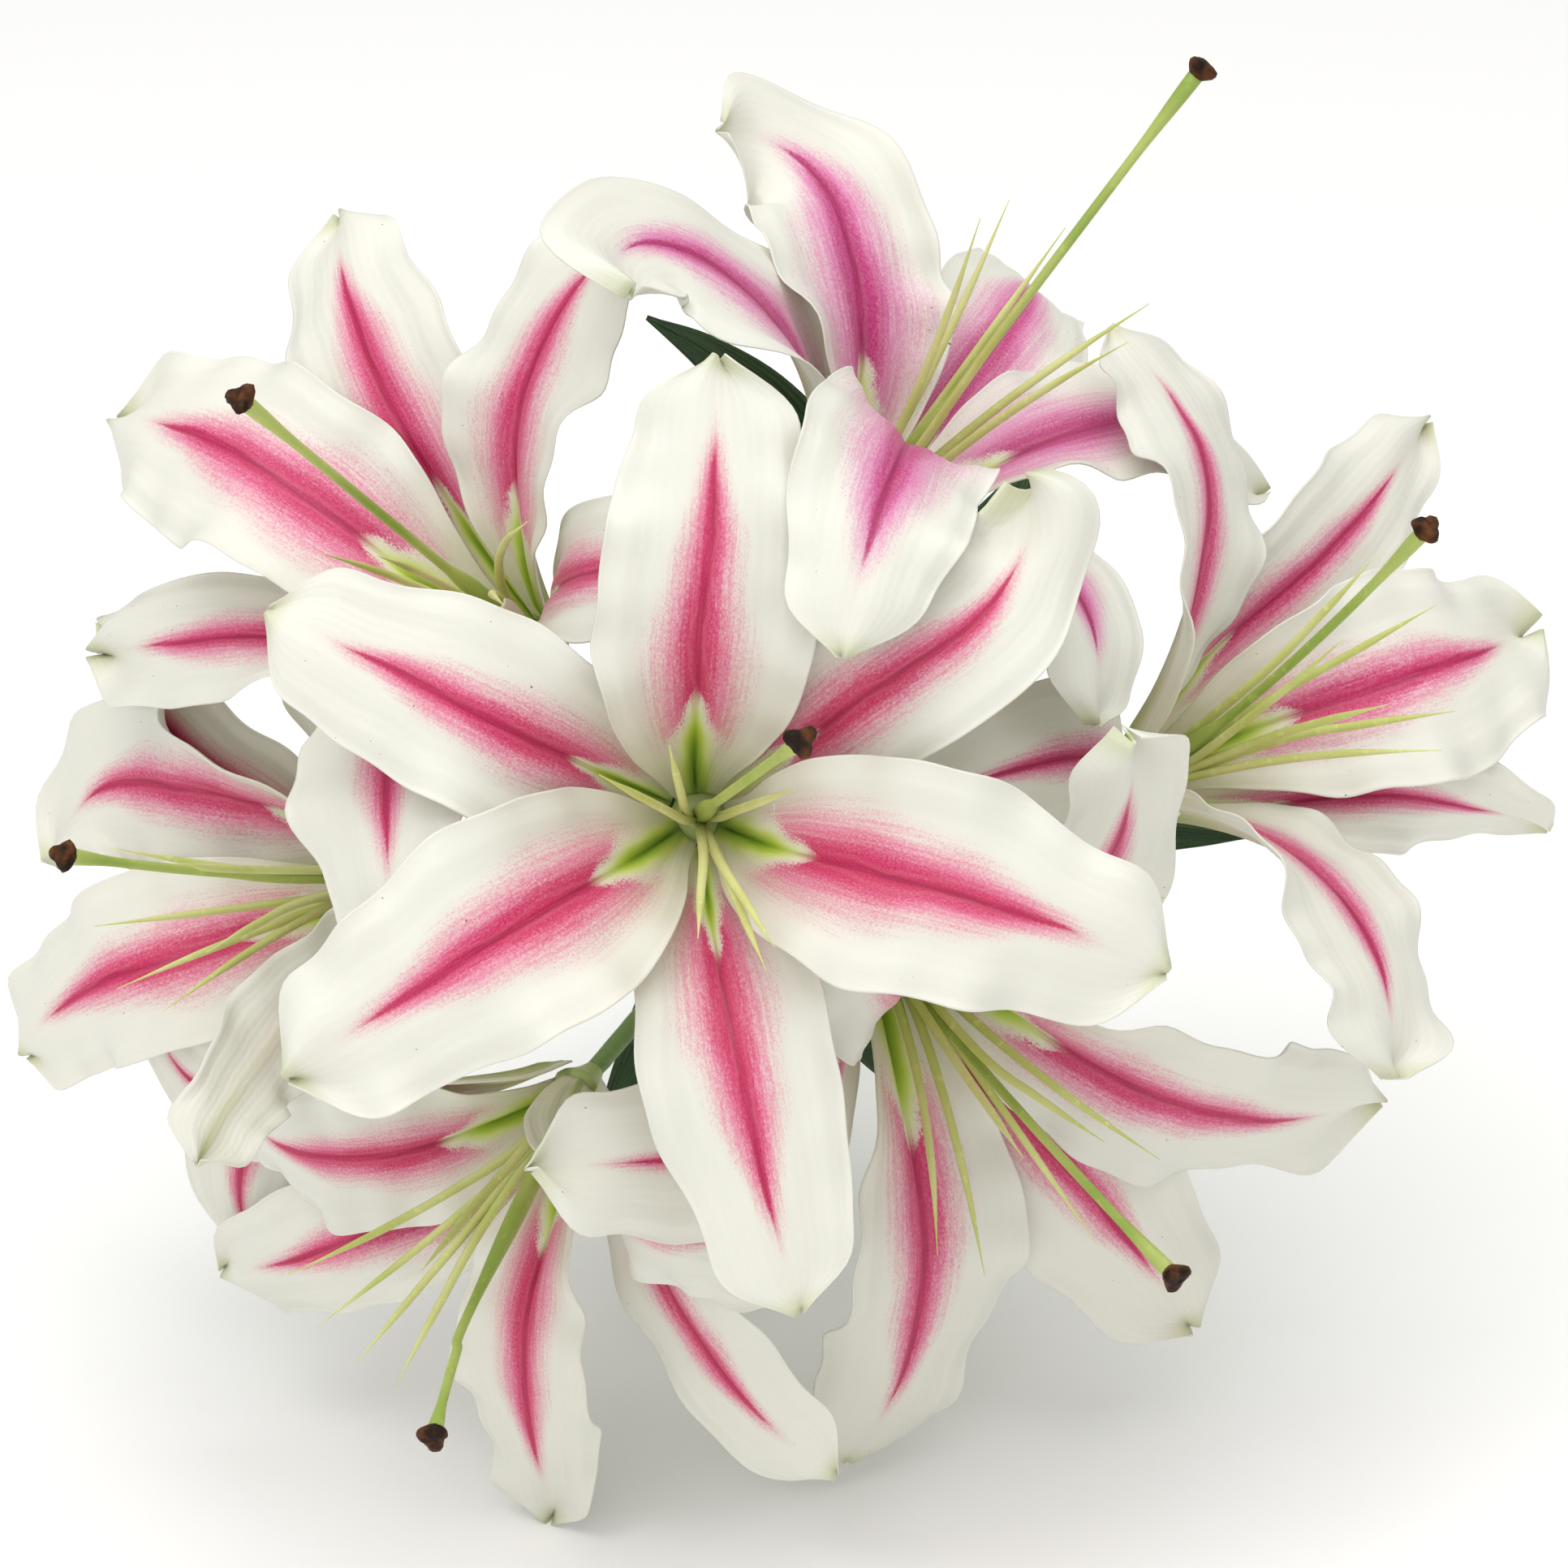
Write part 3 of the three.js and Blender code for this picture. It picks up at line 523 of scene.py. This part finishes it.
def tepal_face_material():
    """White, with a stippled flush, a dense band and a green furrow along the midrib."""
    paint = Paint("tepal_face")
    across, along = paint.blade_map()
    blade = (across, along, paint.times(paint.attribute("chance"), 37.0))
    waver = blade_noise(paint, blade, 0.0, 3.5)
    aside = paint.math("ABSOLUTE", paint.add(across, paint.times(paint.sub(waver, 0.5), 0.16)))
    stipple = blade_noise(paint, blade, 36.0, 96.0, 1.8, 3.0, 0.75)
    streak = blade_noise(paint, blade, 34.0, 6.0, 1.0, 3.0, 0.6)
    grain = paint.add(paint.times(paint.sub(stipple, 0.5), 1.5), paint.times(paint.sub(streak, 0.5), 0.8))
    away, outside = furrow_places(paint, aside, along, stipple)
    lilac = paint.attribute("lilac")
    blush = paint.mix(lilac, PINK, LILAC)
    deep = paint.mix(lilac, CRIMSON, MAGENTA)

    colour = paint.mix(paint.ramp(along, 0.0, 0.42, 0.55, 0.0), WHITE, CREAM)
    colour = paint.mix(flush_share(paint, aside, along, grain, outside), colour, blush)
    dense = paint.ramp(stipple, 0.3, 0.65, 0.62, 0.95)
    colour = paint.mix(paint.times(band_share(paint, aside, along, grain, outside), dense), colour, deep)
    colour = paint.mix(midrib_share(paint, aside, along, streak), colour, paint.mix(0.6, deep, DARK_CRIMSON))
    colour = paint.mix(furrow_share(paint, away, along, 0.3, 1.6, 0.22, 0.36), colour, LIME)
    inmost = furrow_share(paint, away, along, 0.1, 0.95, 0.17, 0.31)
    colour = paint.mix(paint.times(inmost, 0.9), colour, DEEP_LIME)
    colour = paint.mix(paint.ramp(along, 0.95, 1.0, 0.0, 0.4), colour, TIP_GREEN)
    colour = paint.mix(paint.ramp(vein_lines(paint, blade), 0.3, 1.0, 0.0, 0.05), colour, FACE_VEIN)
    colour = paint.mix(pollen_share(paint, blade), colour, POLLEN)
    return paint.finish(colour, 0.42, tepal_bump(paint, blade), 0.22, 0.0004, **TEPAL_FLESH)


def tepal_back_material():
    """White, with a green keel and a faint flush beside it."""
    paint = Paint("tepal_back")
    across, along = paint.blade_map()
    blade = (across, along, paint.times(paint.attribute("chance"), 23.0))
    aside = paint.math("ABSOLUTE", across)
    colour = paint.mix(paint.ramp(along, 0.0, 0.5, 0.6, 0.0), WHITE, CREAM)
    keel = paint.curve(along, [(0.0, 0.9), (0.3, 0.45), (0.7, 0.15), (0.9, 0.35), (1.0, 0.8)])
    colour = paint.mix(paint.times(paint.ramp(aside, 0.04, 0.2, 1.0, 0.0), keel), colour, TIP_GREEN)
    flush = paint.curve(along, [(0.1, 0.0), (0.4, 0.2), (0.8, 0.0)])
    colour = paint.mix(paint.times(paint.ramp(aside, 0.05, 0.5, 1.0, 0.0), flush), colour, BACK_FLUSH)
    colour = paint.mix(paint.ramp(vein_lines(paint, blade), 0.0, 1.0, 0.0, 0.12), colour, BACK_VEIN)
    return paint.finish(colour, 0.45, tepal_bump(paint, blade), 0.3, 0.0004, **TEPAL_FLESH)


def stalk_material(name, greens):
    """Two close greens, with small pale spots and a fine grain."""
    paint = Paint(name)
    place = paint.object_place()
    low, high = greens
    pale = tuple(min(1, c * 1.5) for c in high)
    fine = paint.noise(place, 420.0, 3.0, 0.6)
    colour = paint.mix(paint.ramp(paint.noise(place, 35.0, 3.0), 0.35, 0.65), low, high)
    colour = paint.mix(paint.ramp(fine, 0.55, 0.75, 0.0, 0.3), colour, pale)
    return paint.finish(
        colour, 0.45, fine, 0.25, 0.0003,
        Subsurface_Weight=0.1, Subsurface_Radius=(0.003, 0.004, 0.001), Subsurface_Scale=0.5,
    )


def stigma_material():
    """Dark brown, sticky and grainy, with patches of near-black painted shade and orange-brown painted
    highlights.
    """
    paint = Paint("stigma")
    place = paint.object_place()
    grain = paint.noise(place, 900.0, 3.0, 0.7)
    # Patches of painted shade (near-black) and painted highlight (orange-brown) over the stigma's dark
    # brown.
    colour = paint.mix(paint.ramp(paint.noise(place, 240.0, 2.0), 0.4, 0.7), *STIGMA_BROWN_SHADE_AND_HIGHLIGHT)
    return paint.finish(colour, 0.6, grain, 0.9, 0.0006, Specular_IOR_Level=0.2)


def leaf_material():
    """Dark green, with lighter veins and midrib."""
    paint = Paint("leaf")
    across, along = paint.blade_map()
    blade = (across, along, paint.times(paint.attribute("chance"), 19.0))
    patches = blade_noise(paint, blade, 2.0, 7.0, 1.0, 3.0)
    colour = paint.mix(paint.ramp(patches, 0.3, 0.7), *LEAF_GREENS)
    veins = vein_lines(paint, blade)
    colour = paint.mix(paint.ramp(veins, 0.2, 1.0, 0.0, 0.35), colour, LEAF_VEIN)
    midrib = paint.ramp(paint.math("ABSOLUTE", across), 0.02, 0.06, 0.8, 0.0)
    colour = paint.mix(midrib, colour, LEAF_MIDRIB)
    return paint.finish(colour, 0.36, veins, 0.3, 0.0003, Sheen_Weight=0.05)


# ---------------------------------------------------------------- tepals

TEPAL_ROWS = 60
TEPAL_COLUMNS = 25
COLUMN_TURN = math.pi / 2 * 0.93  # columns are spaced as a sine up to this angle: closer at the margins
ROW_POWER = 0.97                  # below 1: rows are a little closer towards the tip

# How strong the band is on each flower, and how much of it is lilac rather than crimson.
BANDS = {"top": (1.3, 0.75), "upper_left": (1.1, 0.1), "right": (0.8, 0.2), "lower_right": (0.9, 0.1)}
PLAIN_BAND = (1.0, 0.0)

# The midrib's depth in mm, the ruffle's height in mm, its waves along a margin, and how wide the
# green furrow is: for an inner tepal, and for an outer one.
INNER = {"depth": 1.5, "ruffle": 2.4, "waves": 3.1, "furrow": 0.85}
OUTER = {"depth": 1.0, "ruffle": 1.6, "waves": 2.2, "furrow": 0.5}

# Every chance draw of the script comes from here, in the order that the pieces are built in.
rng = np.random.default_rng(7)


def hump(x, width):
    """A smooth hump of height 1 round x = 0."""
    return np.exp(-((x / width) ** 2))


def closed_outline(grid, s, t):
    """The outline closes to a short point, and wanders a little on its way there."""
    middle = grid[:, TEPAL_COLUMNS // 2][:, None]
    blunt = 1 + 0.42 * hump(s - 0.95, 0.075)
    closing = np.sqrt(np.clip(1 - smoothstep(0.91, 1.012, s) ** 2, 0.015, 1))
    phases = rng.uniform(0, 2 * math.pi, 4)
    slow = np.sin(13 * s + np.where(t < 0, phases[0], phases[1]))
    quick = np.sin(34 * s + np.where(t < 0, phases[2], phases[3]))
    wander = 1 + smoothstep(0.3, 0.6, s) * (0.05 * slow + 0.018 * quick)
    return middle + (grid - middle) * (blunt * closing * wander)[..., None]


def furrow_depth(deepest, s, t):
    """The midrib is a furrow inside and a keel outside, deepest at the foot."""
    depth = deepest * (1 - smoothstep(0.1, 0.85, s)) + 0.35 * MM
    shape = hump(t, 0.1) - 0.55 * hump(np.abs(t) - 0.22, 0.12)
    return depth * shape * smoothstep(0.0, 0.06, s) * (1 - smoothstep(0.9, 1, s))


def pleats_and_fold(s, t):
    """Shallow pleats along the blade, and a fold at its tip."""
    pleats = 0.4 * MM * np.cos(2 * math.pi * 2.7 * t) * np.abs(t)
    pleats = pleats * smoothstep(0.05, 0.3, s) * (1 - smoothstep(0.8, 1, s))
    fold = rng.uniform(-1, 1) * 3.4 * MM * smoothstep(0.76, 1.0, s)
    fold = fold * np.sin(math.pi * t * 1.3 + rng.uniform(-1, 1))
    return pleats + fold


def ruffled(grid, normals, s, t, amount, waves):
    """The margins go up and down a little, each side in its own way."""
    strength = smoothstep(0.12, 0.5, s) * (1 - 0.6 * smoothstep(0.85, 1.0, s)) * np.abs(t) ** 2.2
    phase_left, phase_right, swing = rng.uniform(0, 2 * math.pi, 3)
    phase = np.where(t < 0, phase_left, phase_right)
    turn = 2 * math.pi * waves * s
    wave = np.sin(turn + phase) + 0.45 * np.sin(turn * 2.3 + phase * 2)
    drift = 0.5 * np.sin(2 * math.pi * 1.2 * s + swing) * (1 - np.abs(t))
    lift = amount * (strength * wave + 0.35 * drift * smoothstep(0.2, 0.6, s))
    return grid + normals * lift[..., None]


def tepal_blade(name, rows, kind, colouring, materials):
    """A tepal's fine blade: furrowed along its midrib, ruffled at its margins, pointed at its tip.

    kind: INNER or OUTER. colouring: what its materials read, by name.
    """
    along = np.linspace(0, 1, TEPAL_ROWS) ** ROW_POWER
    across = np.sin(np.linspace(-1, 1, TEPAL_COLUMNS) * COLUMN_TURN) / math.sin(COLUMN_TURN)
    s = along[:, None]
    t = across[None, :]
    grid = refined(rows, along, across)
    normals = normals_of(grid)
    grid = closed_outline(grid, s, t)
    grid = grid - normals * furrow_depth(kind["depth"] * MM, s, t)[..., None]
    grid = grid + normals * pleats_and_fold(s, t)[..., None]
    grid = ruffled(grid, normals, s, t, kind["ruffle"] * MM, kind["waves"])
    thickness = MM * (0.42 + 0.7 * hump(t, 0.22) * (1 - 0.6 * s))
    points, faces, kinds, maps = blade_mesh(grid, thickness, along, across)
    return make_object(name, points, faces, materials, kinds, maps, colouring)


def read_flower(flower):
    """Where a flower's stalk meets it, its middle, the way it faces, and the rows of its six tepals."""
    heart = mesh_points(f"{flower}_pistil_and_filaments")[0]
    below = None
    nearest = math.inf
    for stem in STEMS:
        points = mesh_points(stem)[0]
        gaps = np.linalg.norm(heart[:, None] - points[None], axis=2).min(1)
        if gaps.min() < nearest:
            nearest = gaps.min()
            below = heart[gaps.argsort()[:FLOWER_FOOT_SIDES]].mean(0)
    rows = {}
    for k in range(1, 7):
        rows[k] = sheet_rows(f"{flower}_tepal_{k}", below)
    middle = np.mean([r[0, ACROSS // 2] for r in rows.values()], axis=0)
    return below, middle, unit(middle - below), rows


def build_flower(flower, place, paints):
    below, middle, axis, rows = place
    band, lilac = BANDS.get(flower, PLAIN_BAND)
    ahead = middle + axis * 60 * MM
    for k, sheet in rows.items():
        kind = INNER if k % 2 == 0 else OUTER
        colouring = {"chance": rng.uniform(), "lilac": lilac}
        colouring["band"] = band * rng.uniform(0.9, 1.1)
        colouring["furrow"] = kind["furrow"]
        name = f"{flower}_petal_{k}"
        blade = tepal_blade(name, facing(sheet, ahead), kind, colouring, paints["tepal"])
        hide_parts(f"{flower}_tepal_{k}")
    build_heart(flower, below, middle, axis, paints["heart"])


# ---------------------------------------------------------------- pistils and filaments

# The places of the heart's materials in its list.
FILAMENT, STYLE, STIGMA, RECEPTACLE = range(4)

# Points along each part's path, and sides round it.
FILAMENT_POINTS, FILAMENT_ROUND = 26, 8
STYLE_POINTS, STYLE_ROUND = 40, 12
RECEPTACLE_POINTS, RECEPTACLE_ROUND = 20, 16
STIGMA_ROUND = 24

# The stigma's outline: mm beyond the style's end, and the radius in mm there.
STIGMA_SHAPE = [
    (-1.0, 1.8), (-0.3, 2.4), (0.6, 3.0), (1.6, 3.2), (2.5, 2.8), (2.9, 1.9), (2.8, 0.9), (2.5, 0.2),
]

# The receptacle's outline: shares of its height, and the radius in mm there.
RECEPTACLE_SHAPE = [(-0.2, 2.5), (0.0, 2.9), (0.4, 4.0), (0.8, 5.6), (1.05, 6.2), (1.3, 5.0), (1.45, 2.6)]


def join_parts(parts):
    """Several (points, faces, material) as one list of points, faces and materials."""
    points = []
    faces = []
    kinds = []
    for own_points, own_faces, kind in parts:
        start = len(points)
        points.extend(own_points)
        faces.extend(tuple(start + i for i in f) for f in own_faces)
        kinds.extend([kind] * len(own_faces))
    return points, faces, kinds


def stalk_path(points, rings, start, s):
    """A smooth path from start to the first of the rings, read at places s."""
    centres = [points[ring].mean(0) for ring in reversed(rings)]
    return catmull(np.array([start, *centres]), s)


def filament_part(points, rings, start):
    s = np.linspace(0, 1, FILAMENT_POINTS)
    radii = MM * (1.25 - 0.45 * s - 0.7 * smoothstep(0.7, 1.0, s))
    return (*tube_mesh(stalk_path(points, rings, start, s), radii, FILAMENT_ROUND), FILAMENT)


def stigma_mesh(path, radii, along):
    """A three-lobed knob with an uneven skin: a tube whose outline swells in three places."""
    side = unit(np.cross(along, [0.3, 0.5, 0.8]))
    other = np.cross(along, side)
    points = []
    for i, (p, radius) in enumerate(zip(path, radii)):
        lobe = 0.26 * min(1.0, i / 3)
        for k in range(STIGMA_ROUND):
            angle = 2 * math.pi * k / STIGMA_ROUND
            r = radius * (1 + lobe * math.cos(3 * angle) + rng.uniform(-0.06, 0.06))
            points.append(p + r * (math.cos(angle) * side + math.sin(angle) * other))
    return points, tube_faces(len(path), STIGMA_ROUND)


def pistil_parts(points, rings, start):
    """The ovary and style, with the three-lobed stigma on top."""
    s = np.linspace(0, 1, STYLE_POINTS)
    path = stalk_path(points, rings[STIGMA_RINGS:], start, s)
    radii = MM * (1.1 + 1.0 * (1 - smoothstep(0.12, 0.24, s)) + 0.75 * smoothstep(0.8, 1.0, s))
    lobes = 0.1 * (1 - smoothstep(0.15, 0.25, s))
    along = unit(path[-1] - path[-3])
    stigma_path = [path[-1] + along * (at * MM) for at, _ in STIGMA_SHAPE]
    stigma_radii = [r * MM for _, r in STIGMA_SHAPE]
    return [
        (*tube_mesh(path, radii, STYLE_ROUND, lobes), STYLE),
        (*stigma_mesh(stigma_path, stigma_radii, along), STIGMA),
    ]


def receptacle_part(below, middle, axis):
    """The end of the stalk that the tepals and the pistil stand on."""
    height = np.linalg.norm(middle - below)
    s = np.linspace(0, 1, RECEPTACLE_POINTS)
    path = catmull(np.array([below + axis * (height * at) for at, _ in RECEPTACLE_SHAPE]), s)
    radii = catmull(np.array([r for _, r in RECEPTACLE_SHAPE]), s) * MM
    return (*tube_mesh(path, radii, RECEPTACLE_ROUND), RECEPTACLE)


def build_heart(flower, below, middle, axis, materials):
    node = f"{flower}_pistil_and_filaments"
    points, beside, _ = mesh_points(node)
    parts = [receptacle_part(below, middle, axis)]
    for i, others in enumerate(beside):
        gaps = [np.linalg.norm(points[i] - points[j]) for j in others]
        if len(others) == FILAMENT_SIDES and min(gaps) > FILAMENT_STEP:
            rings = walk_rings(beside, i, FILAMENT_SIDES)
            towards = points[rings[-1]].mean(0) - middle
            towards = towards - axis * (towards @ axis)
            parts.append(filament_part(points, rings, middle + towards * 0.12))
    tops = [i for i, others in enumerate(beside) if len(others) == PISTIL_SIDES]
    apex = max(tops, key=lambda i: np.linalg.norm(points[i] - middle))
    parts.extend(pistil_parts(points, walk_rings(beside, apex, PISTIL_SIDES), middle))
    all_points, faces, kinds = join_parts(parts)
    made = make_object(f"{flower}_heart", all_points, faces, materials, kinds)
    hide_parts(node)


# ---------------------------------------------------------------- stems and leaves

LEAF_ROWS = 50
LEAF_COLUMNS = 17


def build_stem(node, material):
    """A stem with its flower stalks: the CAD tubes melted into one another."""
    points, _, faces = mesh_points(node)
    made = make_object(f"{node}_green", points, faces, [material])
    remesh = made.modifiers.new("melt", "REMESH")
    remesh.mode = "VOXEL"
    remesh.voxel_size = 0.9 * MM
    remesh.use_smooth_shade = True
    smooth = made.modifiers.new("even", "SMOOTH")
    smooth.factor = 0.5
    smooth.iterations = 10
    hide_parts(node)


def leaf_foot(node, centre):
    """Where a leaf leaves its stem: the end of the sheet that is farther from the flowers."""
    middles, links = sheet_middle(node)
    corners = middles[[i for i, others in enumerate(links) if len(others) < 4]]
    away = np.linalg.norm(corners - centre, axis=1)
    return corners[away.argsort()[-2:]].mean(0)


def build_leaf(node, centre, material):
    """A leaf, creased along its midrib. centre: the middle of the centre flower."""
    root = leaf_foot(node, centre)
    rows = facing(sheet_rows(node, root), (root + centre) / 2)
    along = np.linspace(0, 1, LEAF_ROWS)
    across = np.linspace(-1, 1, LEAF_COLUMNS)
    s = along[:, None]
    t = across[None, :]
    grid = refined(rows, along, across)
    normals = normals_of(grid)
    middle = grid[:, LEAF_COLUMNS // 2][:, None]
    closing = np.sqrt(np.clip(1 - smoothstep(0.86, 1.02, s) ** 2, 0.01, 1))
    grid = middle + (grid - middle) * closing[..., None]
    crease = 1.1 * MM * hump(t, 0.12) * (1 - 0.6 * s)
    grid = grid - normals * crease[..., None]
    grid = ruffled(grid, normals, s, t, 0.9 * MM, 2.0)
    thickness = MM * (0.4 + 0.8 * hump(t, 0.12) * (1 - s))
    points, faces, kinds, maps = blade_mesh(grid, thickness, along, across)
    values = {"chance": rng.uniform()}
    made = make_object(f"{node}_blade", points, faces, [material, material], kinds, maps, values)
    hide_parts(node)


# ---------------------------------------------------------------- camera, light and floor

LEAN = math.radians(27)          # the bunch's axis above the floor, which the camera looks along
CAMERA_AWAY = 1.35               # from the camera to the point it aims at
AIM_RIGHT = 19 * MM              # from the centre flower's middle to that point
AIM_UP = 7 * MM
LENS = 139.7                     # mm, on a 36 mm sensor
FLOOR_HALF = 12
LIGHTS_AIM = (0, -0.05, 0.15)

# Each light's place, diameter and watts.
LIGHTS = {
    "key": ((-1.0, -0.7, 1.7), 1.0, 7),
    "top": ((0.2, -0.2, 2.3), 3.0, 41),
    "front": ((-0.5, -1.8, 0.9), 1.6, 8),
}


def build_camera(centre):
    """In front of the flowers and square to the bunch, as someone would look down on it."""
    across = np.array([1.0, 0.0, 0.0])
    up = np.array([0.0, math.sin(LEAN), math.cos(LEAN)])
    back = np.array([0.0, -math.cos(LEAN), math.sin(LEAN)])
    aim = centre + across * AIM_RIGHT + up * AIM_UP
    data = bpy.data.cameras.new("camera")
    camera = bpy.data.objects.new("camera", data)
    bpy.context.scene.collection.objects.link(camera)
    camera.location = Vector(aim + back * CAMERA_AWAY)
    camera.rotation_mode = "QUATERNION"
    camera.rotation_quaternion = Vector(-back).to_track_quat("-Z", "Y")
    data.sensor_width = 36
    data.lens = LENS
    data.clip_start = 0.05
    data.clip_end = 60
    bpy.context.scene.camera = camera


def build_floor():
    mesh = bpy.data.meshes.new("floor")
    corners = [(-1, -1), (1, -1), (1, 1), (-1, 1)]
    mesh.from_pydata([(x * FLOOR_HALF, y * FLOOR_HALF, 0) for x, y in corners], [], [(0, 1, 2, 3)])
    mesh.materials.append(Paint("floor").finish((0.97, 0.97, 0.965), 0.9))
    floor = bpy.data.objects.new("floor", mesh)
    bpy.context.scene.collection.objects.link(floor)


def build_light():
    """A pale world, and the soft round lights of a small studio."""
    world = bpy.data.worlds.new("studio")
    world.use_nodes = True
    background = world.node_tree.nodes["Background"]
    background.inputs["Color"].default_value = (1, 0.99, 0.96, 1)
    background.inputs["Strength"].default_value = 0.5
    bpy.context.scene.world = world
    for name, (place, diameter, watts) in LIGHTS.items():
        data = bpy.data.lights.new(name, "AREA")
        data.shape = "DISK"
        data.size = diameter
        data.energy = watts
        light = bpy.data.objects.new(name, data)
        light.location = place
        light.rotation_mode = "QUATERNION"
        light.rotation_quaternion = (Vector(LIGHTS_AIM) - Vector(place)).to_track_quat("-Z", "Y")
        bpy.context.scene.collection.objects.link(light)


# ---------------------------------------------------------------- the scene

bpy.context.scene.view_settings.view_transform = "Standard"

paints = {
    "tepal": [tepal_face_material(), tepal_back_material()],
    "heart": [
        stalk_material("filament", FILAMENT_GREENS),
        stalk_material("style", STYLE_GREENS),
        stigma_material(),
        stalk_material("receptacle", RECEPTACLE_GREENS),
    ],
}
stem_paint = stalk_material("stem", STEM_GREENS)
leaf_paint = leaf_material()

flower_places = {flower: read_flower(flower) for flower in FLOWERS}
centre = flower_places["centre"][1]
for flower, place in flower_places.items():
    build_flower(flower, place, paints)
for stem in STEMS:
    build_stem(stem, stem_paint)
for leaf in LEAVES:
    build_leaf(leaf, centre, leaf_paint)

build_floor()
build_light()
build_camera(centre)
